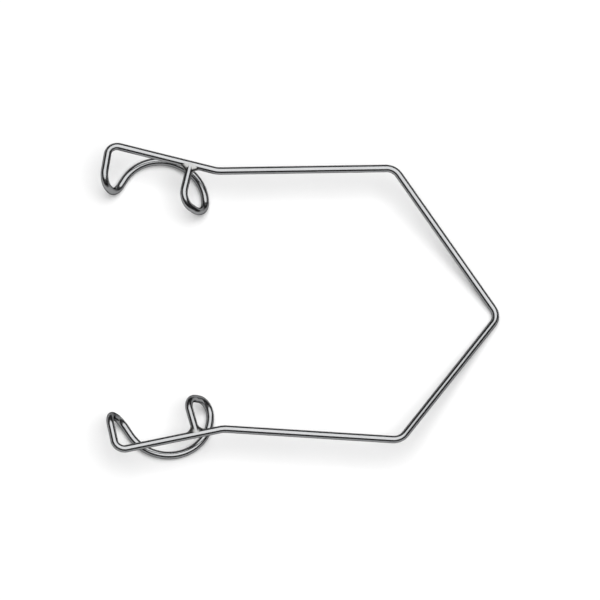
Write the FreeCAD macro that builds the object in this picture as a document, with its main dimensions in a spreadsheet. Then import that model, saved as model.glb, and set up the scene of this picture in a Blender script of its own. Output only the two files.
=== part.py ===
import FreeCAD, Part
import math
import os

import Sketcher
from FreeCAD import Placement, Rotation, Vector

# Wire eyelid speculum: one round spring wire bent into an arrow-headed bow with two legs, two long
# arms and two open lid blades, its two ends brazed back on to their own rails.
# X runs along the instrument to the bow's apex, Y across it, and Z up from the plane it lies on.
# The two halves mirror each other in the plane Y = 0. Lengths are millimetres, angles degrees.

SIZES = {
    # the wire
    "wire_diameter": 0.80,
    # the spring bow, measured to the corners where straight runs would meet
    "apex_angle": 108.2,
    "apex_radius": 1.50,
    "shoulder_spacing": 31.37,
    "shoulder_radius": 1.60,
    # the arms, which lean towards each other
    "arm_length": 18.87,
    "arm_convergence_angle": 2.43,
    "neck_radius": 3.00,
    # the rails, which flare outwards again from the necks
    "rail_length": 11.75,
    "rail_flare_angle": 13.8,
    "corner_radius": 1.05,
    # the hooks, which carry the wire under the lid; the corner leg leans a little on its way to its hook
    "hook_reach": 4.40,
    "hook_depth": 2.57,
    "corner_lean": 0.27,
    "corner_sweep": 1.58,
    "corner_hook_radius": 1.42,
    "neck_sweep": 3.04,
    "neck_hook_radius": 1.52,
    # the lid bow, which lies flat below the rail: one arc between two sides that lean together
    "bow_side_angle": 17.3,
    "bow_side_length": 0.15,
    # the post and its brazed joint
    "post_offset": 2.92,
    "braze_reach": 0.50,
    "braze_contact_angle": 14.0,
    # where the wire's bending is gathered, measured along the straight runs
    "leg_flex_place": 7.30,
    "arm_flex_place": 5.20,
    "flex_gap": 0.12,
}

UP = Vector(0, 0, 1)
HALVES = {"upper": 1, "lower": -1}

# The braze is lofted through this many slices, which stop at this share of the way to the wire's crown.
BRAZE_SLICES = 9
BRAZE_CROWN_SHARE = 0.85
# The chord of its concave side makes this angle with both post and rail, in degrees.
BRAZE_CHORD_ANGLE = 45.0
# The slices close inside the wire, at this share of its radius.
BRAZE_INSIDE_SHARE = 0.6

doc = FreeCAD.newDocument("WireSpeculum")


def make_sheet(name, values):
    """A spreadsheet with one aliased number a row."""
    sheet = doc.addObject("Spreadsheet::Sheet", name)
    for row, (alias, value) in enumerate(values.items(), start=1):
        sheet.set(f"A{row}", alias.replace("_", " "))
        sheet.set(f"B{row}", str(value))
        sheet.setAlias(f"B{row}", alias)
    doc.recompute()
    return sheet


sizes = make_sheet("Sizes", SIZES)


def size(alias):
    return float(sizes.get(alias))


def unit(vector):
    return vector * (1.0 / vector.Length)


def mirrored(point, side):
    """The same point in the upper (1) or lower (-1) half."""
    return Vector(point.x, side * point.y, point.z)


class Bend:
    """An arc of the wire that rounds the corner between two straight runs."""

    def __init__(self, before, corner, after, radius):
        back = unit(before - corner)
        onward = unit(after - corner)
        self.radius = radius
        self.turn = 180.0 - math.degrees(back.getAngle(onward))
        self.tangent = radius * math.tan(math.radians(self.turn / 2))
        self.start = corner + back * self.tangent
        self.end = corner + onward * self.tangent
        heading = back * -1
        inward = unit(onward - heading * onward.dot(heading))
        centre = self.start + inward * radius
        self.frame = Placement(centre, Rotation(inward, heading.cross(inward), heading, "ZXY"))


def run_frame(start, end):
    """A frame at the start of a straight run, with its Z along the wire."""
    return Placement(start, Rotation(UP, end - start))


def route(side):
    """Corners and bends of one half, from the apex to the post's seat on the rail.

    The level of the arms is Z = 0 here. The legs fall from the shoulders so far that the middle of the
    apex lies as deep as the lid bow, and the speculum then stands level on the two bows and the apex.
    """
    half_apex = math.radians(size("apex_angle") / 2)
    half_spacing = size("shoulder_spacing") / 2
    lean = math.radians(size("arm_convergence_angle"))
    flare = math.radians(size("rail_flare_angle"))
    side_angle = math.radians(size("bow_side_angle"))
    depth = size("hook_depth")

    apex_set_back = size("apex_radius") * (1 / math.sin(half_apex) - 1)
    bow_reach = half_spacing / math.tan(half_apex)
    dip = math.asin(depth / (bow_reach - apex_set_back))
    apex = Vector(bow_reach * math.cos(dip), 0, -bow_reach * math.sin(dip))
    shoulder = Vector(0, half_spacing, 0)
    neck = shoulder + Vector(-math.cos(lean), -math.sin(lean), 0) * size("arm_length")

    to_neck = Vector(math.cos(flare), -math.sin(flare), 0)
    outward = Vector(math.sin(flare), math.cos(flare), 0)
    corner = neck - to_neck * size("rail_length")
    seat = neck - to_neck * size("post_offset")
    corner_hook_front = corner - outward * size("hook_reach") + to_neck * size("corner_lean")
    neck_hook_front = seat - outward * size("hook_reach")
    corner_hook_back = corner_hook_front + to_neck * size("corner_sweep") - UP * depth
    neck_hook_back = neck_hook_front + to_neck * size("neck_sweep") - UP * depth
    half_width = (neck_hook_back - corner_hook_back).dot(to_neck) / 2
    bow_middle = (corner_hook_back + neck_hook_back) * 0.5
    bow_corner = bow_middle + outward * (half_width / math.tan(side_angle))
    # the bow's arc is as large as it can be with a short straight side left before each hook
    far_hook = Bend(corner_hook_front, corner_hook_back, bow_corner, size("corner_hook_radius"))
    near_hook = Bend(bow_corner, neck_hook_back, neck_hook_front, size("neck_hook_radius"))
    bow_tangent = (half_width / math.sin(side_angle) - max(far_hook.tangent, near_hook.tangent)
                   - size("bow_side_length"))
    bow_radius = bow_tangent * math.tan(side_angle)

    points = [apex, shoulder, neck, corner, corner_hook_front, corner_hook_back, bow_corner,
              neck_hook_back, neck_hook_front, seat]
    points = [mirrored(point, side) for point in points]
    other_shoulder = mirrored(shoulder, -side)
    (apex, shoulder, neck, corner, corner_hook_front, corner_hook_back, bow_corner,
     neck_hook_back, neck_hook_front, seat) = points
    return {
        "apex_bend": Bend(other_shoulder, apex, shoulder, size("apex_radius")),
        "shoulder_bend": Bend(apex, shoulder, neck, size("shoulder_radius")),
        "neck_bend": Bend(shoulder, neck, corner, size("neck_radius")),
        "corner_bend": Bend(neck, corner, corner_hook_front, size("corner_radius")),
        "corner_hook_front": Bend(corner, corner_hook_front, corner_hook_back, size("corner_hook_radius")),
        "corner_hook_back": Bend(corner_hook_front, corner_hook_back, bow_corner, size("corner_hook_radius")),
        "bow_arc": Bend(corner_hook_back, bow_corner, neck_hook_back, bow_radius),
        "neck_hook_back": Bend(bow_corner, neck_hook_back, neck_hook_front, size("neck_hook_radius")),
        "neck_hook_front": Bend(neck_hook_back, neck_hook_front, seat, size("neck_hook_radius")),
        "seat": seat,
        "along_rail": unit(neck - corner),
        "along_post": unit(seat - neck_hook_front),
    }


def straight_runs(bends):
    """Start and end of every straight run of one half, with a hairline at each flexing place."""
    gap = size("flex_gap") / 2
    leg_start, leg_end = bends["apex_bend"].end, bends["shoulder_bend"].start
    arm_start, arm_end = bends["shoulder_bend"].end, bends["neck_bend"].start
    along_leg = unit(leg_end - leg_start)
    along_arm = unit(arm_end - arm_start)
    leg_flex = leg_start + along_leg * size("leg_flex_place")
    arm_flex = arm_start + along_arm * size("arm_flex_place")
    return {
        "leg_root": (leg_start, leg_flex - along_leg * gap),
        "leg": (leg_flex + along_leg * gap, leg_end),
        "arm_root": (arm_start, arm_flex - along_arm * gap),
        "arm": (arm_flex + along_arm * gap, arm_end),
        "rail": (bends["neck_bend"].end, bends["corner_bend"].start),
        "corner_leg": (bends["corner_bend"].end, bends["corner_hook_front"].start),
        "corner_hook_crown": (bends["corner_hook_front"].end, bends["corner_hook_back"].start),
        "bow_far_side": (bends["corner_hook_back"].end, bends["bow_arc"].start),
        "bow_near_side": (bends["bow_arc"].end, bends["neck_hook_back"].start),
        "neck_hook_crown": (bends["neck_hook_back"].end, bends["neck_hook_front"].start),
        "post": (bends["neck_hook_front"].end, bends["seat"]),
    }


BENDS = {name: route(side) for name, side in HALVES.items()}
STRAIGHTS = {name: straight_runs(bends) for name, bends in BENDS.items()}

# Lengths and turns of the wire's runs, worked out from the sizes and the same in both halves.
run_values = {f"{name}_length": (end - start).Length for name, (start, end) in STRAIGHTS["upper"].items()}
run_values.update({f"{name}_turn": bend.turn for name, bend in BENDS["upper"].items() if isinstance(bend, Bend)})
run_values["bow_radius"] = BENDS["upper"]["bow_arc"].radius
runs = make_sheet("Runs", run_values)

BEND_RADII = {
    "apex_bend": "Sizes.apex_radius",
    "shoulder_bend": "Sizes.shoulder_radius",
    "neck_bend": "Sizes.neck_radius",
    "corner_bend": "Sizes.corner_radius",
    "corner_hook_front": "Sizes.corner_hook_radius",
    "corner_hook_back": "Sizes.corner_hook_radius",
    "bow_arc": "Runs.bow_radius",
    "neck_hook_back": "Sizes.neck_hook_radius",
    "neck_hook_front": "Sizes.neck_hook_radius",
}


def section_sketch(body, name, frame):
    """A sketch for the wire's round section, square to the wire at the start of a run."""
    plane = next(item for item in body.Origin.OriginFeatures if item.Role == "XY_Plane")
    sketch = body.newObject("Sketcher::SketchObject", f"{name}_section")
    sketch.AttachmentSupport = [(plane, "")]
    sketch.MapMode = "FlatFace"
    sketch.AttachmentOffset = body.Placement.inverse() * frame
    return sketch


def bind_diameter(sketch, circle):
    index = sketch.addConstraint(Sketcher.Constraint("Diameter", circle, size("wire_diameter")))
    sketch.setExpression(f"Constraints[{index}]", "Sizes.wire_diameter")


def add_straight(body, run, ends):
    """Pads the round section along a straight run."""
    sketch = section_sketch(body, f"{body.Name}_{run}", run_frame(*ends))
    circle = sketch.addGeometry(Part.Circle(Vector(), UP, size("wire_diameter") / 2))
    sketch.addConstraint(Sketcher.Constraint("Coincident", circle, 3, -1, 1))
    bind_diameter(sketch, circle)
    pad = body.newObject("PartDesign::Pad", f"{body.Name}_{run}_pad")
    pad.Profile = sketch
    pad.setExpression("Length", f"Runs.{run}_length")
    return pad


def add_bend(body, run, bend):
    """Revolves the round section about the bend's centre line."""
    sketch = section_sketch(body, f"{body.Name}_{run}", bend.frame)
    circle = sketch.addGeometry(Part.Circle(Vector(-bend.radius, 0, 0), UP, size("wire_diameter") / 2))
    sketch.addConstraint(Sketcher.Constraint("PointOnObject", circle, 3, -1))
    index = sketch.addConstraint(Sketcher.Constraint("DistanceX", circle, 3, -1, 1, bend.radius))
    sketch.setExpression(f"Constraints[{index}]", BEND_RADII[run])
    bind_diameter(sketch, circle)
    turn = body.newObject("PartDesign::Revolution", f"{body.Name}_{run}_turn")
    turn.Profile = sketch
    turn.ReferenceAxis = (sketch, ["V_Axis"])
    turn.setExpression("Angle", f"Runs.{run}_turn")
    return turn


def wire_piece(name, half, run_names):
    """One node of the wire: a body with a pad for each straight run and a revolution for each bend."""
    bends, straights = BENDS[half], STRAIGHTS[half]
    first = run_names[0]
    start_frame = bends[first].frame if first in bends else run_frame(*straights[first])
    body = doc.addObject("PartDesign::Body", name)
    body.Label = name
    body.Placement = start_frame
    for run in run_names:
        if run in straights:
            add_straight(body, run, straights[run])
        else:
            add_bend(body, run, bends[run])
    doc.recompute()
    return body


def notch_post(body, half):
    """Hollows the post's end to the rail's round, so that it seats on the rail's side."""
    bends = BENDS[half]
    across = bends["along_rail"].cross(bends["along_post"])
    frame = Placement(bends["seat"], Rotation(bends["along_post"], across, bends["along_rail"], "ZXY"))
    before = body.Shape.Volume
    sketch = section_sketch(body, f"{body.Name}_notch", frame)
    circle = sketch.addGeometry(Part.Circle(Vector(), UP, size("wire_diameter") / 2))
    sketch.addConstraint(Sketcher.Constraint("Coincident", circle, 3, -1, 1))
    bind_diameter(sketch, circle)
    notch = body.newObject("PartDesign::Pocket", f"{body.Name}_fish_mouth")
    notch.Profile = sketch
    notch.Type = "ThroughAll"
    notch.Midplane = True
    doc.recompute()
    if body.Shape.Volume >= before:
        raise RuntimeError(f"{body.Label}: the fish mouth cuts nothing")


def braze_profile(frame, scale, level):
    """One slice of the braze: the corner fill on both sides of the post, closed inside the wire."""
    radius = size("wire_diameter") / 2
    reach = radius + size("braze_reach")
    # the concave side runs from the post to the rail and sags towards their corner
    half_chord = size("braze_reach") / math.sqrt(2)
    sag = half_chord * math.tan(math.radians(BRAZE_CHORD_ANGLE - size("braze_contact_angle")) / 2)
    middle = (radius + reach) / 2 - sag / math.sqrt(2)
    inside = radius * BRAZE_INSIDE_SHARE

    def place(along_post, along_rail):
        return frame.multVec(Vector(along_post * scale, along_rail * scale, level))

    edges = []
    for side in (1, -1):
        edges.append(Part.Arc(place(reach, side * radius), place(middle, side * middle),
                              place(radius, side * reach)).toShape())
        edges.append(Part.LineSegment(place(radius, side * reach), place(inside, side * reach)).toShape())
    edges.append(Part.LineSegment(place(reach, radius), place(reach, -radius)).toShape())
    edges.append(Part.LineSegment(place(inside, reach), place(inside, -reach)).toShape())
    return Part.Wire(Part.__sortEdges__(edges))


def braze(name, half):
    """The brazed fillet round the post's foot.

    Every slice parallel to the blade is the middle slice scaled by the wire's half width at that level,
    so the fill thins out with the round of the wire and dies away at its crown.
    """
    bends = BENDS[half]
    radius = size("wire_diameter") / 2
    down_post = bends["along_post"] * -1
    across = down_post.cross(bends["along_rail"])
    frame = Placement(bends["seat"], Rotation(down_post, bends["along_rail"], across, "ZXY"))
    slices = []
    for index in range(BRAZE_SLICES):
        angle = math.radians(90 - 180 * index / (BRAZE_SLICES - 1)) * BRAZE_CROWN_SHARE
        slices.append(braze_profile(frame, math.cos(angle), radius * math.sin(angle)))
    fill = Part.makeLoft(slices, True, False)
    span = 2 * (radius + size("braze_reach"))
    rail = Part.makeCylinder(radius, 2 * span, bends["seat"] - bends["along_rail"] * span, bends["along_rail"])
    post = Part.makeCylinder(radius, 2 * span, bends["seat"], down_post)
    shape = fill.cut(rail).cut(post)
    if shape.Volume <= 0:
        raise RuntimeError(f"{name} is inside out")
    feature = doc.addObject("Part::Feature", name)
    feature.Label = name
    feature.Shape = Part.makeCompound(shape.Solids)
    return feature


# The nodes of one half, in order along the wire.
HALF_PIECES = {
    "leg_root": ["leg_root"],
    "leg": ["leg"],
    "shoulder_bend": ["shoulder_bend"],
    "arm_root": ["arm_root"],
    "arm": ["arm"],
    "neck_bend": ["neck_bend"],
    "rail": ["rail"],
    "corner_bend": ["corner_bend"],
    "corner_leg": ["corner_leg"],
    "corner_hook": ["corner_hook_front", "corner_hook_crown", "corner_hook_back"],
    "lid_bow": ["bow_far_side", "bow_arc", "bow_near_side"],
    "neck_hook": ["neck_hook_back", "neck_hook_crown", "neck_hook_front"],
    "post": ["post"],
}

pieces = [wire_piece("apex_bend", "upper", ["apex_bend"])]
for half in HALVES:
    for piece, run_names in HALF_PIECES.items():
        body = wire_piece(f"{half}_{piece}", half, run_names)
        if piece == "post":
            notch_post(body, half)
        pieces.append(body)
    pieces.append(braze(f"{half}_braze", half))
doc.recompute()

# The origin goes to the middle of the overall length, at the level that the speculum stands on.
extent = FreeCAD.BoundBox()
for piece in pieces:
    extent.add(piece.Shape.optimalBoundingBox(False, False))
to_origin = Placement(Vector(-extent.Center.x, -extent.Center.y, -extent.ZMin), Rotation())
for piece in pieces:
    piece.Placement = to_origin * piece.Placement
doc.recompute()

for item in doc.Objects:
    if "Invalid" in item.State or "Error" in item.State:
        raise RuntimeError(f"{item.Label} didn't build: {item.State}")
for piece in pieces:
    if piece.Shape.isNull() or not piece.Shape.isValid() or not piece.Shape.Solids:
        raise RuntimeError(f"{piece.Label} has no valid solid")

os.makedirs("parts", exist_ok=True)
for piece in pieces:
    piece.Shape.exportStep(f"parts/{piece.Label}.step")
print(f"{len(pieces)} pieces, overall {extent.XLength:.2f} x {extent.YLength:.2f} x {extent.ZLength:.2f} mm")
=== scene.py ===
"""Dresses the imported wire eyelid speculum.

The object is one round spring wire. Its centre line is worked out once, from the seat of the lower
post, over the apex, to the seat of the upper post. Every wire piece is a slice of the one tube
round that line, so neighbouring pieces share their end rings and the surface runs on across them.
"""
import math

import bpy
import numpy as np
from mathutils import Matrix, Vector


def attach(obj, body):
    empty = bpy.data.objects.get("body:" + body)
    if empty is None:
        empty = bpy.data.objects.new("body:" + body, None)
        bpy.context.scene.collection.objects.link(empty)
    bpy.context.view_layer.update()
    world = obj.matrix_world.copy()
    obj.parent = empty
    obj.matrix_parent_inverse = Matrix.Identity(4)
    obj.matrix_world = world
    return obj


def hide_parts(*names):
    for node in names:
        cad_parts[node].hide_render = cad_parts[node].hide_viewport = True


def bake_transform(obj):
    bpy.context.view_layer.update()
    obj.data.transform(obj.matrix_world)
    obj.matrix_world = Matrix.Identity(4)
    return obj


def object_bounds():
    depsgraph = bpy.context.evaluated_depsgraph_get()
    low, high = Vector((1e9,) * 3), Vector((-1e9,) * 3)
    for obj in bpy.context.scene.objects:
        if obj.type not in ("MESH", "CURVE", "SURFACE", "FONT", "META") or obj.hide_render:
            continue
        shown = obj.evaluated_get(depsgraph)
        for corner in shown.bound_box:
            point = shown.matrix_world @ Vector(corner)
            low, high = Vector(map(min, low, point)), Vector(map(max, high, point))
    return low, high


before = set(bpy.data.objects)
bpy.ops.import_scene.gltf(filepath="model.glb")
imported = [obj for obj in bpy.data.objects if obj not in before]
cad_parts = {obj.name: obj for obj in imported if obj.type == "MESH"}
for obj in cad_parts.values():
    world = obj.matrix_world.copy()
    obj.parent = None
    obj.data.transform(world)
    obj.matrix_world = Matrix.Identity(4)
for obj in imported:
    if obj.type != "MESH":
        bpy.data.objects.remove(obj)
cad_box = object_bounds()

MM = 0.001
UP = np.array([0.0, 0.0, 1.0])
HALVES = {"upper": 1, "lower": -1}

# the wire's route, with the same sizes and formulas as the solids
WIRE_RADIUS = 0.40 * MM
APEX_ANGLE = math.radians(108.2)
APEX_RADIUS = 1.50 * MM
SHOULDER_SPACING = 31.37 * MM
SHOULDER_RADIUS = 1.60 * MM
ARM_LENGTH = 18.87 * MM
ARM_CONVERGENCE = math.radians(2.43)
NECK_RADIUS = 3.00 * MM
RAIL_LENGTH = 11.75 * MM
RAIL_FLARE = math.radians(13.8)
CORNER_RADIUS = 1.05 * MM
HOOK_REACH = 4.40 * MM
HOOK_DEPTH = 2.57 * MM
CORNER_LEAN = 0.27 * MM
CORNER_SWEEP = 1.58 * MM
CORNER_HOOK_RADIUS = 1.42 * MM
NECK_SWEEP = 3.04 * MM
NECK_HOOK_RADIUS = 1.52 * MM
BOW_SIDE_ANGLE = math.radians(17.3)
BOW_SIDE_LENGTH = 0.15 * MM
POST_OFFSET = 2.92 * MM

# how finely the tube is made
RING_POINTS = 56
STRAIGHT_STEP = 0.35 * MM
BEND_STEP = math.radians(3.0)
FEWEST_STRAIGHT_STEPS = 2
FEWEST_BEND_STEPS = 4

# traces of the bending: where the wire is bent tightly over a pin it is drawn thinner and nipped.
# How tight a bend is, is the wire's thickness over the bend's radius.
THINNING = 0.030
NIP = 0.030
LOOSE_BEND = 0.25
TIGHT_BEND = 0.80
STRAIN_RAMP = 0.22

# how far the pieces reach past the bends
APEX_PIECE_REACH = 1.2 * MM
ARM_PIECE_REACH = 0.7 * MM

# the brazed fillet, a little longer than the solids' one, as the photograph shows it
BRAZE_REACH = 0.72 * MM
BRAZE_CONTACT = math.radians(10.0)
BRAZE_LEVELS = 41
BRAZE_CROWN_SHARE = 0.96
BRAZE_INSIDE_SHARE = 0.6
BRAZE_ARC_POINTS = 15
BRAZE_RIPPLE = 0.012
RIPPLE_LEVEL_WAVES, RIPPLE_PLACE_WAVES, RIPPLE_SHAPE_WAVES = 3, 2, 5


def unit(vectors):
    """Every row divided by its own length."""
    vectors = np.asarray(vectors, float)
    return vectors / np.linalg.norm(vectors, axis=-1, keepdims=True)


def turned(vector, axis, angles):
    """The vector turned about the axis: v cos a + (k x v) sin a + k (k . v)(1 - cos a)."""
    cos, sin = np.cos(angles)[:, None], np.sin(angles)[:, None]
    return vector * cos + np.cross(axis, vector) * sin + axis * (axis @ vector) * (1 - cos)


def bend_tangent(before, corner, after, radius):
    """How far from its corner a bend starts: its radius times the tangent of half its turn."""
    turn = math.acos(np.clip(unit(corner - before) @ unit(after - corner), -1, 1))
    return radius * math.tan(turn / 2)


def half_corners(side):
    """Corners of one half from the apex to the post's seat, with the radius of the bend at each.

    X = 0 lies at the shoulders and Z = 0 at the arms. The legs fall so far from the shoulders that
    the middle of the apex lies as deep as the lid bow.
    """
    half_apex = APEX_ANGLE / 2
    half_spacing = SHOULDER_SPACING / 2
    set_back = APEX_RADIUS * (1 / math.sin(half_apex) - 1)
    bow_reach = half_spacing / math.tan(half_apex)
    dip = math.asin(HOOK_DEPTH / (bow_reach - set_back))
    to_arm_end = np.array([math.cos(ARM_CONVERGENCE), math.sin(ARM_CONVERGENCE), 0.0])
    to_neck = np.array([math.cos(RAIL_FLARE), -math.sin(RAIL_FLARE), 0.0])
    outward = np.array([math.sin(RAIL_FLARE), math.cos(RAIL_FLARE), 0.0])

    apex = np.array([bow_reach * math.cos(dip), 0.0, -bow_reach * math.sin(dip)])
    shoulder = np.array([0.0, half_spacing, 0.0])
    neck = shoulder - to_arm_end * ARM_LENGTH
    corner = neck - to_neck * RAIL_LENGTH
    seat = neck - to_neck * POST_OFFSET
    corner_hook_front = corner - outward * HOOK_REACH + to_neck * CORNER_LEAN
    neck_hook_front = seat - outward * HOOK_REACH
    corner_hook_back = corner_hook_front + to_neck * CORNER_SWEEP - UP * HOOK_DEPTH
    neck_hook_back = neck_hook_front + to_neck * NECK_SWEEP - UP * HOOK_DEPTH

    # the lid bow is one arc, tangent to two sides that lean together
    half_width = (neck_hook_back - corner_hook_back) @ to_neck / 2
    bow_corner = ((corner_hook_back + neck_hook_back) / 2
                  + outward * (half_width / math.tan(BOW_SIDE_ANGLE)))
    hook_tangent = max(
        bend_tangent(corner_hook_front, corner_hook_back, bow_corner, CORNER_HOOK_RADIUS),
        bend_tangent(bow_corner, neck_hook_back, neck_hook_front, NECK_HOOK_RADIUS))
    bow_tangent = half_width / math.sin(BOW_SIDE_ANGLE) - hook_tangent - BOW_SIDE_LENGTH
    bow_radius = bow_tangent * math.tan(BOW_SIDE_ANGLE)

    corners = np.array([apex, shoulder, neck, corner, corner_hook_front, corner_hook_back,
                        bow_corner, neck_hook_back, neck_hook_front, seat])
    radii = np.array([APEX_RADIUS, SHOULDER_RADIUS, NECK_RADIUS, CORNER_RADIUS, CORNER_HOOK_RADIUS,
                      CORNER_HOOK_RADIUS, bow_radius, NECK_HOOK_RADIUS, NECK_HOOK_RADIUS, 0.0])
    return corners * np.array([1.0, side, 1.0]), radii


# places in the list of corners
SHOULDER, NECK, CORNER, NECK_HOOK_FRONT, SEAT = 1, 2, 3, 8, 9


def wire_route():
    """The whole wire's corners and radii: the lower half backwards, then the upper half."""
    lower, lower_radii = half_corners(HALVES["lower"])
    upper, upper_radii = half_corners(HALVES["upper"])
    return (np.vstack([lower[::-1], upper[1:]]),
            np.concatenate([lower_radii[::-1], upper_radii[1:]]))


def bend_strain(count, radius):
    """How hard the wire is worked along a bend: its tightness, eased over the bend's ends."""
    tightness = np.clip((2 * WIRE_RADIUS / radius - LOOSE_BEND) / (TIGHT_BEND - LOOSE_BEND), 0, 1)
    place = np.linspace(0, 1, count, endpoint=False)
    ease = np.clip(np.minimum(place, 1 - place) / STRAIN_RAMP, 0, 1)
    return tightness * ease * ease * (3 - 2 * ease)


def centre_line(corners, radii):
    """The rounded route as arrays: point, heading, normal, way inwards, strain, and place along it.

    A straight run is sampled evenly. A bend's points are its first point turned about the bend's
    centre, and the heading and the normal are turned with them, so the normal never twists about
    the wire. The list under bends holds each bend's first row and the row after its last.
    """
    heading = unit(np.diff(corners, axis=0))
    turn = np.arccos(np.clip(np.sum(heading[:-1] * heading[1:], axis=1), -1, 1))
    set_back = radii[1:-1] * np.tan(turn / 2)
    normal = unit(UP - heading[0] * (UP @ heading[0]))
    line = {key: [] for key in ("point", "heading", "normal", "inward", "strain")}
    bends = []

    def add(**rows):
        for key, value in rows.items():
            line[key].append(value)

    start = corners[0]
    for index, direction in enumerate(heading):
        last = index == len(heading) - 1
        end = corners[index + 1] - (0 if last else direction * set_back[index])
        steps = max(FEWEST_STRAIGHT_STEPS, math.ceil(np.linalg.norm(end - start) / STRAIGHT_STEP))
        share = np.linspace(0, 1, steps + 1 if last else steps, endpoint=last)[:, None]
        count = len(share)
        add(point=start + (end - start) * share, heading=np.tile(direction, (count, 1)),
            normal=np.tile(normal, (count, 1)), inward=np.tile(normal, (count, 1)),
            strain=np.zeros(count))
        if last:
            break
        radius = radii[index + 1]
        inward = unit(heading[index + 1] - direction * (direction @ heading[index + 1]))
        axis = np.cross(direction, inward)
        count = max(FEWEST_BEND_STEPS, math.ceil(turn[index] / BEND_STEP))
        angles = np.linspace(0, turn[index], count, endpoint=False)
        first_row = sum(len(values) for values in line["strain"])
        add(point=end + inward * radius - turned(inward, axis, angles) * radius,
            heading=turned(direction, axis, angles), normal=turned(normal, axis, angles),
            inward=turned(inward, axis, angles), strain=bend_strain(count, radius))
        bends.append((first_row, first_row + count))
        normal = turned(normal, axis, turn[index:index + 1])[0]
        start = corners[index + 1] + heading[index + 1] * set_back[index]

    line = {key: np.concatenate(rows) for key, rows in line.items()}
    gaps = np.linalg.norm(np.diff(line["point"], axis=0), axis=1)
    line["along"] = np.concatenate([[0.0], np.cumsum(gaps)])
    line["bends"] = bends
    return line


def tube_rings(line):
    """Rings round the centre line: P + r(a) (N cos a + B sin a), with B = T x N.

    The radius r(a) is the wire's own, less a little in the plane of a tight bend, and less again
    where its inner side was nipped on the pin: r = R (1 - strain (thinning c^2 + nip max(c, 0)^4)),
    where c is the cosine of the angle from the way inwards.
    """
    angles = np.linspace(0, 2 * math.pi, RING_POINTS, endpoint=False)
    binormal = np.cross(line["heading"], line["normal"])
    across = (line["normal"][:, None, :] * np.cos(angles)[None, :, None]
              + binormal[:, None, :] * np.sin(angles)[None, :, None])
    inner = np.sum(across * line["inward"][:, None, :], axis=2)
    loss = line["strain"][:, None] * (THINNING * inner ** 2 + NIP * np.clip(inner, 0, 1) ** 4)
    return line["point"][:, None, :] + across * (WIRE_RADIUS * (1 - loss))[:, :, None]


def closed_tube(name, rings, run, flat_columns=None):
    """A mesh from a grid of rings, each closed on itself, with a flat face over the two end rings.

    The UV map wire_run holds the run's value at the ring and the share of the way round. The end
    rings' edges are sharp, so that the shading doesn't round off where two pieces meet.
    """
    rows, columns = rings.shape[:2]
    row, column = np.meshgrid(np.arange(rows - 1), np.arange(columns), indexing="ij")
    after = (column + 1) % columns
    quads = np.stack([row * columns + column, row * columns + after,
                      (row + 1) * columns + after, (row + 1) * columns + column], axis=-1)
    quads = quads.reshape(-1, 4)
    last = (rows - 1) * columns
    caps = [list(range(columns))[::-1], list(range(last, last + columns))]
    mesh = bpy.data.meshes.new(name)
    mesh.from_pydata(rings.reshape(-1, 3), [], quads.tolist() + caps)

    smooth = np.ones(len(quads) + len(caps), bool)
    if flat_columns is not None:
        smooth[:len(quads)] = ~flat_columns[column.reshape(-1)]
    smooth[len(quads):] = False
    mesh.polygons.foreach_set("use_smooth", smooth)

    round_share = np.arange(columns + 1) / columns
    side_uv = np.stack([np.stack([run[row], round_share[column]], -1),
                        np.stack([run[row], round_share[column + 1]], -1),
                        np.stack([run[row + 1], round_share[column + 1]], -1),
                        np.stack([run[row + 1], round_share[column]], -1)], axis=2)
    cap_uv = [np.stack([np.full(columns, run[0]), round_share[:-1][::-1]], -1),
              np.stack([np.full(columns, run[-1]), round_share[:-1]], -1)]
    uv = np.concatenate([side_uv.reshape(-1, 2), *cap_uv])
    mesh.uv_layers.new(name="wire_run").data.foreach_set("uv", uv.ravel())
    mesh.validate()

    ends = np.empty(2 * len(mesh.edges), np.int32)
    mesh.edges.foreach_get("vertices", ends)
    end_row = ends.reshape(-1, 2) // columns
    sharp = (end_row[:, 0] == end_row[:, 1]) & np.isin(end_row[:, 0], (0, rows - 1))
    mesh.attributes.new("sharp_edge", "BOOLEAN", "EDGE").data.foreach_set("value", sharp)
    return mesh


def point_mask(mesh, name, values):
    """A number at every point of the mesh, for the materials."""
    values = np.asarray(values, np.float32).ravel()
    mesh.attributes.new(name, "FLOAT", "POINT").data.foreach_set("value", values)


def shown(name, mesh, material):
    """The mesh as an object in the scene, at the origin, in its material."""
    piece = bpy.data.objects.new(name, mesh)
    mesh.materials.append(material)
    bpy.context.scene.collection.objects.link(piece)
    return piece


class Nodes:
    """Short ways to add and link nodes in one tree."""

    def __init__(self, tree):
        self.tree = tree

    def add(self, kind, inputs=None, **settings):
        node = self.tree.nodes.new(kind)
        for key, value in settings.items():
            setattr(node, key, value)
        for key, value in (inputs or {}).items():
            if isinstance(value, bpy.types.NodeSocket):
                self.tree.links.new(value, node.inputs[key])
            else:
                node.inputs[key].default_value = value
        return node

    def math(self, operation, *values):
        return self.add("ShaderNodeMath", dict(enumerate(values)), operation=operation).outputs[0]

    def span(self, value, low, high, to_low=0.0, to_high=1.0):
        """The value carried smoothly from low..high to to_low..to_high, and held beyond."""
        node = self.add("ShaderNodeMapRange",
                        {"Value": value, "From Min": low, "From Max": high,
                         "To Min": to_low, "To Max": to_high}, interpolation_type="SMOOTHSTEP")
        return node.outputs["Result"]

    def seen_ray(self):
        """1 for what the eye sees, straight, mirrored or through glass, 0 for light on things."""
        ray = self.add("ShaderNodeLightPath").outputs
        return self.math("MAXIMUM", ray["Is Camera Ray"],
                         self.math("MAXIMUM", ray["Is Glossy Ray"], ray["Is Transmission Ray"]))


FLOAT, VECTOR = "NodeSocketFloat", "NodeSocketVector"
NOISE_MIDDLE = 0.5


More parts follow.
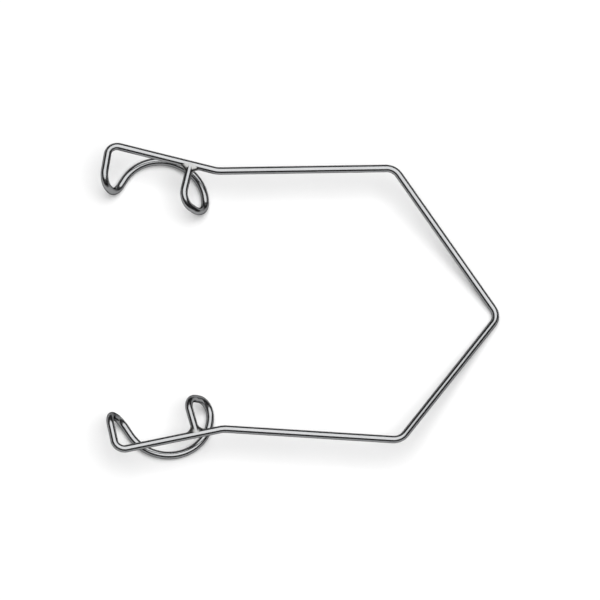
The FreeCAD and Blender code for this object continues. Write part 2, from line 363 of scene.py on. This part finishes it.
def effect(name, inputs, output):
    """An empty node group with named sockets, with its way to add nodes, its inputs and its end."""
    group = bpy.data.node_groups.new(name, "ShaderNodeTree")
    for socket, kind, default in inputs:
        made = group.interface.new_socket(socket, in_out="INPUT", socket_type=kind)
        if default is not None:
            made.default_value = default
    group.interface.new_socket(output, in_out="OUTPUT", socket_type=FLOAT)
    nodes = Nodes(group)
    return group, nodes, nodes.add("NodeGroupInput").outputs, nodes.add("NodeGroupOutput")


def drawn_lines():
    """Faint lines that the drawing die leaves: noise that is fine round the wire and long along it.

    The way round is taken as a point on a circle, so that the lines close on themselves.
    """
    faintest, strongest = 0.30, 0.72
    group, nodes, given, out = effect(
        "drawn_lines",
        [("Run", VECTOR, None), ("Fineness", FLOAT, 9.0), ("Length", FLOAT, 14.0)], "Lines")
    run = nodes.add("ShaderNodeSeparateXYZ", {"Vector": given["Run"]}).outputs
    angle = nodes.math("MULTIPLY", run["Y"], 2 * math.pi)
    point = nodes.add("ShaderNodeCombineXYZ", {
        "X": nodes.math("MULTIPLY", nodes.math("COSINE", angle), given["Fineness"]),
        "Y": nodes.math("MULTIPLY", nodes.math("SINE", angle), given["Fineness"]),
        "Z": nodes.math("DIVIDE", run["X"], given["Length"])}).outputs[0]
    noise = nodes.add("ShaderNodeTexNoise",
                      {"Vector": point, "Scale": 1.0, "Detail": 4.0, "Roughness": 0.62})
    lines = nodes.span(noise.outputs["Fac"], faintest, strongest)
    nodes.tree.links.new(lines, out.inputs["Lines"])
    return group


def handling_marks():
    """Hairline scratches from trays and needle holders, picked out of two stretched noises.

    A mark lies where a noise comes within the given width of its middle. Each of the two layers
    has its own turn and stretch.
    """
    layers = (((0.3, 0.2, 0.9), (1.0, 9.0, 1.0)), ((0.9, 1.1, -0.5), (8.0, 1.0, 1.0)))
    group, nodes, given, out = effect(
        "handling_marks",
        [("Place", VECTOR, None), ("Scale", FLOAT, 900.0), ("Width", FLOAT, 0.018)], "Marks")
    drawn = []
    for turn, stretch in layers:
        place = nodes.add("ShaderNodeMapping",
                          {"Vector": given["Place"], "Rotation": turn, "Scale": stretch})
        noise = nodes.add("ShaderNodeTexNoise",
                          {"Vector": place.outputs[0], "Scale": given["Scale"], "Detail": 1.0})
        off = nodes.math("ABSOLUTE", nodes.math("SUBTRACT", noise.outputs["Fac"], NOISE_MIDDLE))
        share = nodes.math("MINIMUM", nodes.math("DIVIDE", off, given["Width"]), 1.0)
        drawn.append(nodes.math("SUBTRACT", 1.0, share))
    nodes.tree.links.new(nodes.math("MAXIMUM", *drawn), out.inputs["Marks"])
    return group


def polish_clouds():
    """Slow changes of the polish along the wire: a broad noise and, weaker, one ten times finer."""
    broad_share, fine_ratio = 0.75, 10.0
    faintest, strongest = 0.36, 0.64
    group, nodes, given, out = effect(
        "polish_clouds", [("Place", VECTOR, None), ("Scale", FLOAT, 260.0)], "Clouds")
    broad = nodes.add("ShaderNodeTexNoise",
                      {"Vector": given["Place"], "Scale": given["Scale"], "Detail": 3.0})
    fine_scale = nodes.math("MULTIPLY", given["Scale"], fine_ratio)
    fine = nodes.add("ShaderNodeTexNoise",
                     {"Vector": given["Place"], "Scale": fine_scale, "Detail": 2.0})
    both = nodes.math("ADD", nodes.math("MULTIPLY", broad.outputs["Fac"], broad_share),
                      nodes.math("MULTIPLY", fine.outputs["Fac"], 1 - broad_share))
    clouds = nodes.span(both, faintest, strongest)
    nodes.tree.links.new(clouds, out.inputs["Clouds"])
    return group


LINES, MARKS, CLOUDS = drawn_lines(), handling_marks(), polish_clouds()

# how much rougher strain and marks make a metal, how deep its marks are against its drawn lines,
# and how far both stand out
STRAIN_ROUGHNESS = 0.05
MARK_ROUGHNESS = 0.10
MARK_DEPTH = 0.5
RELIEF_STRENGTH = 0.25
RELIEF_HEIGHT = 0.004 * MM


def metal(name, bright, dull, roughness, spread, line_share):
    """A worked metal, whose colour and roughness change with drawn lines, marks, clouds and strain.

    Its grazing reflections are dark, which gives the wire its dark rims.
    """
    material = bpy.data.materials.new(name)
    material.use_nodes = True
    tree = material.node_tree
    nodes = Nodes(tree)
    shader = tree.nodes["Principled BSDF"]
    shader.inputs["Metallic"].default_value = 1.0
    shader.inputs["Specular Tint"].default_value = (0.0, 0.0, 0.0, 1.0)
    place = nodes.add("ShaderNodeTexCoord").outputs["Object"]
    run = nodes.add("ShaderNodeUVMap", uv_map="wire_run").outputs["UV"]
    lines = nodes.add("ShaderNodeGroup", {"Run": run}, node_tree=LINES).outputs["Lines"]
    marks = nodes.add("ShaderNodeGroup", {"Place": place}, node_tree=MARKS).outputs["Marks"]
    clouds = nodes.add("ShaderNodeGroup", {"Place": place}, node_tree=CLOUDS).outputs["Clouds"]
    strain = nodes.add("ShaderNodeAttribute", attribute_name="strain").outputs["Fac"]

    line_height = nodes.math("MULTIPLY", lines, line_share)
    worn = nodes.math("ADD", nodes.math("MULTIPLY", clouds, 1 - line_share), line_height)
    colour = nodes.add("ShaderNodeMix", {"Factor": worn, "A": (*bright, 1.0), "B": (*dull, 1.0)},
                       data_type="RGBA")
    rough = nodes.math("ADD", nodes.math("MULTIPLY", worn, spread), roughness)
    rough = nodes.math("ADD", rough, nodes.math("MULTIPLY", strain, STRAIN_ROUGHNESS))
    rough = nodes.math("ADD", rough, nodes.math("MULTIPLY", marks, MARK_ROUGHNESS))
    height = nodes.math("SUBTRACT", line_height, nodes.math("MULTIPLY", marks, MARK_DEPTH))
    relief = nodes.add("ShaderNodeBump", {"Strength": RELIEF_STRENGTH, "Distance": RELIEF_HEIGHT,
                                          "Height": height})
    tree.links.new(colour.outputs["Result"], shader.inputs["Base Color"])
    tree.links.new(rough, shader.inputs["Roughness"])
    tree.links.new(relief.outputs["Normal"], shader.inputs["Normal"])
    return material


steel = metal("polished_spring_steel", bright=(0.285, 0.288, 0.292), dull=(0.240, 0.243, 0.247),
              roughness=0.12, spread=0.08, line_share=0.55)
silver_braze = metal("silver_braze", bright=(0.275, 0.274, 0.270), dull=(0.235, 0.234, 0.230),
                     roughness=0.18, spread=0.12, line_share=0.15)

# the wire, moved from the route's own origin to the solids' place
line = centre_line(*wire_route())
rings = tube_rings(line)
cad_middle = (np.array(cad_box[0]) + np.array(cad_box[1])) / 2
to_cad = cad_middle - (rings.min((0, 1)) + rings.max((0, 1))) / 2
rings = rings + to_cad
line["point"] = line["point"] + to_cad

# the bends in order are the lower half's eight, the apex, and the upper half's eight
APEX_BEND = len(line["bends"]) // 2


def bend_ends(corner, step):
    """Where the bend at a corner of one half starts and ends along the wire, seen from the apex."""
    return [line["along"][row] for row in line["bends"][APEX_BEND + corner * step]][::step]


def wire_piece(name, start, end):
    """The slice of the tube between the rings nearest to two places along the wire."""
    first, last = sorted(int(np.argmin(np.abs(line["along"] - place))) for place in (start, end))
    rows = slice(first, last + 1)
    mesh = closed_tube(name, rings[rows], line["along"][rows] / MM)
    point_mask(mesh, "strain", np.repeat(line["strain"][rows], RING_POINTS))
    return shown(name, mesh, steel)


apex_start, apex_end = bend_ends(0, 1)
bow = wire_piece("spring_bow_apex", apex_start - APEX_PIECE_REACH, apex_end + APEX_PIECE_REACH)
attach(bow, "spring_bow")
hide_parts("apex_bend")

BLADE_NODES = ("neck_bend", "rail", "corner_bend", "corner_leg", "corner_hook", "lid_bow",
               "neck_hook", "post")

for half, step in HALVES.items():
    leg_start = bend_ends(0, step)[1]
    arm_start = bend_ends(SHOULDER, step)[1]
    arm_end = bend_ends(NECK, step)[0]
    wire_end = line["along"][-1] if step > 0 else 0.0

    leg = wire_piece(f"{half}_leg_wire", leg_start + APEX_PIECE_REACH * step,
                     arm_start + ARM_PIECE_REACH * step)
    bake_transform(leg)
    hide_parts(f"{half}_leg_root", f"{half}_leg", f"{half}_shoulder_bend")

    arm = wire_piece(f"{half}_arm_wire", arm_start + ARM_PIECE_REACH * step,
                     arm_end - ARM_PIECE_REACH * step)
    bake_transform(arm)
    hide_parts(f"{half}_arm_root", f"{half}_arm")

    blade = wire_piece(f"{half}_blade_wire", arm_end - ARM_PIECE_REACH * step, wire_end)
    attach(blade, f"{half}_blade")
    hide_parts(*(f"{half}_{node}" for node in BLADE_NODES))


def braze_profile():
    """The middle slice of the braze, along the rail and down the post, and its hidden sides.

    On each side of the post an arc sags from the rail's side towards the square corner and ends on
    the post's side. The two arcs are joined across the inside of the post and of the rail.
    """
    reach = WIRE_RADIUS + BRAZE_REACH
    middle = WIRE_RADIUS + BRAZE_REACH / 2
    half_turn = math.pi / 4 - BRAZE_CONTACT
    arc_radius = BRAZE_REACH / math.sqrt(2) / math.sin(half_turn)
    share = np.linspace(-1, 1, BRAZE_ARC_POINTS)
    # along the chord, which runs at 45 degrees, and off it towards the corner
    chord = arc_radius * np.sin(half_turn * share) / math.sqrt(2)
    sag = arc_radius * (np.cos(half_turn * share) - math.cos(half_turn)) / math.sqrt(2)
    arc = np.stack([middle - chord - sag, middle + chord - sag], axis=1)
    inside = WIRE_RADIUS * BRAZE_INSIDE_SHARE
    in_post = np.array([[inside, reach], [0.0, reach], [-inside, reach]])
    in_rail = np.array([[-reach, inside], [0.0, inside], [reach, inside]])
    points = np.vstack([arc, in_post, arc[::-1] * np.array([-1.0, 1.0]), in_rail])
    hidden = np.ones(len(points), bool)
    for first in (0, len(arc) + len(in_post)):
        hidden[first:first + len(arc) - 1] = False
    return points, hidden


def braze_collar(half, side):
    """The profile at each level r sin a through the wire's thickness, scaled by cos a.

    A slow ripple of about a hundredth, from two sines of level and profile place, keeps it from
    looking cut.
    """
    seat = line["point"][-1 if side > 0 else 0]
    corners = half_corners(side)[0]
    along_rail = unit(corners[NECK] - corners[CORNER])
    down_post = unit(corners[NECK_HOOK_FRONT] - corners[SEAT])
    across = np.cross(along_rail, down_post)
    points, hidden = braze_profile()
    level = np.linspace(-1, 1, BRAZE_LEVELS) * math.pi / 2 * BRAZE_CROWN_SHARE
    place = np.arange(len(points)) / len(points) * 2 * math.pi
    wave = (np.sin(RIPPLE_LEVEL_WAVES * level[:, None] + RIPPLE_PLACE_WAVES * place + side)
            * np.cos(RIPPLE_SHAPE_WAVES * place))
    scale = np.cos(level)[:, None] * (1 - BRAZE_RIPPLE * (1 + wave) / 2)
    grid = (seat + (scale * points[:, 0])[..., None] * along_rail
            + (scale * points[:, 1])[..., None] * down_post
            + (WIRE_RADIUS * np.sin(level))[:, None, None] * across)
    name = f"{half}_braze_collar"
    mesh = closed_tube(name, grid, level, flat_columns=hidden)
    point_mask(mesh, "strain", np.zeros(grid.shape[:2]))
    return shown(name, mesh, silver_braze)


for half, side in HALVES.items():
    collar = braze_collar(half, side)
    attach(collar, f"{half}_blade")
    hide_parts(f"{half}_braze")

# the floor: half its side in metres, its cells along a side, its grey, how far the grey wanders in
# its grain, and how much it glows
FLOOR_HALF = 3.0
FLOOR_CELLS = 8
FLOOR_TONE = 0.86
FLOOR_GRAIN = 0.01
FLOOR_GLOW = 0.10


def pale_floor():
    """A matt pale sheet under the object, a little brighter to the eye and in reflections."""
    darkest, palest = 0.3, 0.7
    points = FLOOR_CELLS + 1
    edge = np.linspace(-FLOOR_HALF, FLOOR_HALF, points)
    x, y = np.meshgrid(edge, edge, indexing="ij")
    row, column = np.meshgrid(np.arange(FLOOR_CELLS), np.arange(FLOOR_CELLS), indexing="ij")
    first = (row * points + column).ravel()
    cells = np.stack([first, first + points, first + points + 1, first + 1], -1)
    mesh = bpy.data.meshes.new("floor")
    mesh.from_pydata(np.stack([x, y, np.zeros_like(x)], -1).reshape(-1, 3), [], cells.tolist())

    material = bpy.data.materials.new("pale_table")
    material.use_nodes = True
    tree = material.node_tree
    nodes = Nodes(tree)
    shader = tree.nodes["Principled BSDF"]
    shader.inputs["Roughness"].default_value = 0.9
    shader.inputs["Specular IOR Level"].default_value = 0.1
    shader.inputs["Emission Color"].default_value = (1.0, 1.0, 1.0, 1.0)
    place = nodes.add("ShaderNodeTexCoord").outputs["Object"]
    grain = nodes.add("ShaderNodeTexNoise", {"Vector": place, "Scale": 60.0, "Detail": 3.0})
    tone = nodes.span(grain.outputs["Fac"], darkest, palest,
                      FLOOR_TONE - FLOOR_GRAIN, FLOOR_TONE + FLOOR_GRAIN)
    grey = nodes.add("ShaderNodeCombineColor", {"Red": tone, "Green": tone, "Blue": tone})
    glow = nodes.math("MULTIPLY", nodes.seen_ray(), FLOOR_GLOW)
    tree.links.new(grey.outputs[0], shader.inputs["Base Color"])
    tree.links.new(glow, shader.inputs["Emission Strength"])
    return shown("floor", mesh, material)


pale_floor()

# the camera looks down from in front of the lower half, turned a little about all three axes
SIDE_TILT = math.radians(-6.64)
LEAN = math.radians(23.65)
ROLL = math.radians(-1.33)
PIXEL = 0.10573 * MM
PICTURE_PIXELS = 600
CENTRE_RIGHT, CENTRE_UP = -10.300 * MM, 0.440 * MM
CAMERA_DISTANCE = 0.45
NEAREST_SEEN, FARTHEST_SEEN = 0.01, 10.0

level_right = np.array([math.cos(SIDE_TILT), 0.0, -math.sin(SIDE_TILT)])
level_up = np.array([math.sin(LEAN) * math.sin(SIDE_TILT), math.cos(LEAN),
                     math.sin(LEAN) * math.cos(SIDE_TILT)])
right = level_right * math.cos(ROLL) + level_up * math.sin(ROLL)
above = -level_right * math.sin(ROLL) + level_up * math.cos(ROLL)
back = np.cross(right, above)
upper_shoulder = half_corners(HALVES["upper"])[0][SHOULDER]
between_shoulders = upper_shoulder * np.array([1.0, 0.0, 1.0]) + to_cad
aim = between_shoulders + right * CENTRE_RIGHT + above * CENTRE_UP


def placed(item, name, position, x_axis, y_axis, z_axis):
    """A camera or lamp in the scene, its placement's columns the three axes and the position."""
    made = bpy.data.objects.new(name, item)
    bpy.context.scene.collection.objects.link(made)
    placement = np.eye(4)
    placement[:3] = np.stack([x_axis, y_axis, z_axis, position], axis=1)
    made.matrix_world = Matrix(placement.tolist())
    return made


lens = bpy.data.cameras.new("camera")
lens.type = "ORTHO"
lens.ortho_scale = PIXEL * PICTURE_PIXELS
lens.clip_start = NEAREST_SEEN
lens.clip_end = FARTHEST_SEEN
bpy.context.scene.camera = placed(lens, "camera", aim + back * CAMERA_DISTANCE, right, above, back)

# one broad soft lamp nearly overhead, a little towards the top right of the picture
LAMP_DISTANCE = 1.5
LAMP_HALF_ANGLE = math.radians(40.0)
LAMP_LIFT = math.radians(26.0)
LAMP_RIGHT = math.radians(10.0)
LAMP_RADIANCE = 2.35

lamp_radius = LAMP_DISTANCE * math.tan(LAMP_HALF_ANGLE)
lamp = bpy.data.lights.new("soft_lamp", "AREA")
lamp.shape = "DISK"
lamp.size = 2 * lamp_radius
lamp.energy = LAMP_RADIANCE * math.pi * math.pi * lamp_radius ** 2
lamp_back = unit(back * math.cos(LAMP_LIFT) + above * math.sin(LAMP_LIFT)
                 + right * math.tan(LAMP_RIGHT))
lamp_right = unit(right - lamp_back * (right @ lamp_back))
placed(lamp, "soft_lamp", aim + lamp_back * LAMP_DISTANCE,
       lamp_right, np.cross(lamp_back, lamp_right), lamp_back)

# the room: dim round the sides, lighter overhead, and to the eye as pale as the floor below it
ROOM_SIDES, ROOM_OVERHEAD = 0.03, 0.30
ROOM_LIGHTENS_FROM = 0.45

world = bpy.data.worlds.new("dim_room")
bpy.context.scene.world = world
world.use_nodes = True
nodes = Nodes(world.node_tree)
direction = nodes.add("ShaderNodeTexCoord").outputs["Generated"]
height = nodes.add("ShaderNodeSeparateXYZ", {"Vector": direction}).outputs["Z"]
overhead = nodes.span(height, ROOM_LIGHTENS_FROM, 1.0, ROOM_SIDES, ROOM_OVERHEAD)
seen_below = nodes.math("MULTIPLY", nodes.math("LESS_THAN", height, 0.0), nodes.seen_ray())
background = world.node_tree.nodes["Background"]
background.inputs["Color"].default_value = (1.0, 1.0, 1.0, 1.0)
world.node_tree.links.new(nodes.math("MAXIMUM", overhead, seen_below),
                          background.inputs["Strength"])

bpy.context.scene.view_settings.view_transform = "Standard"
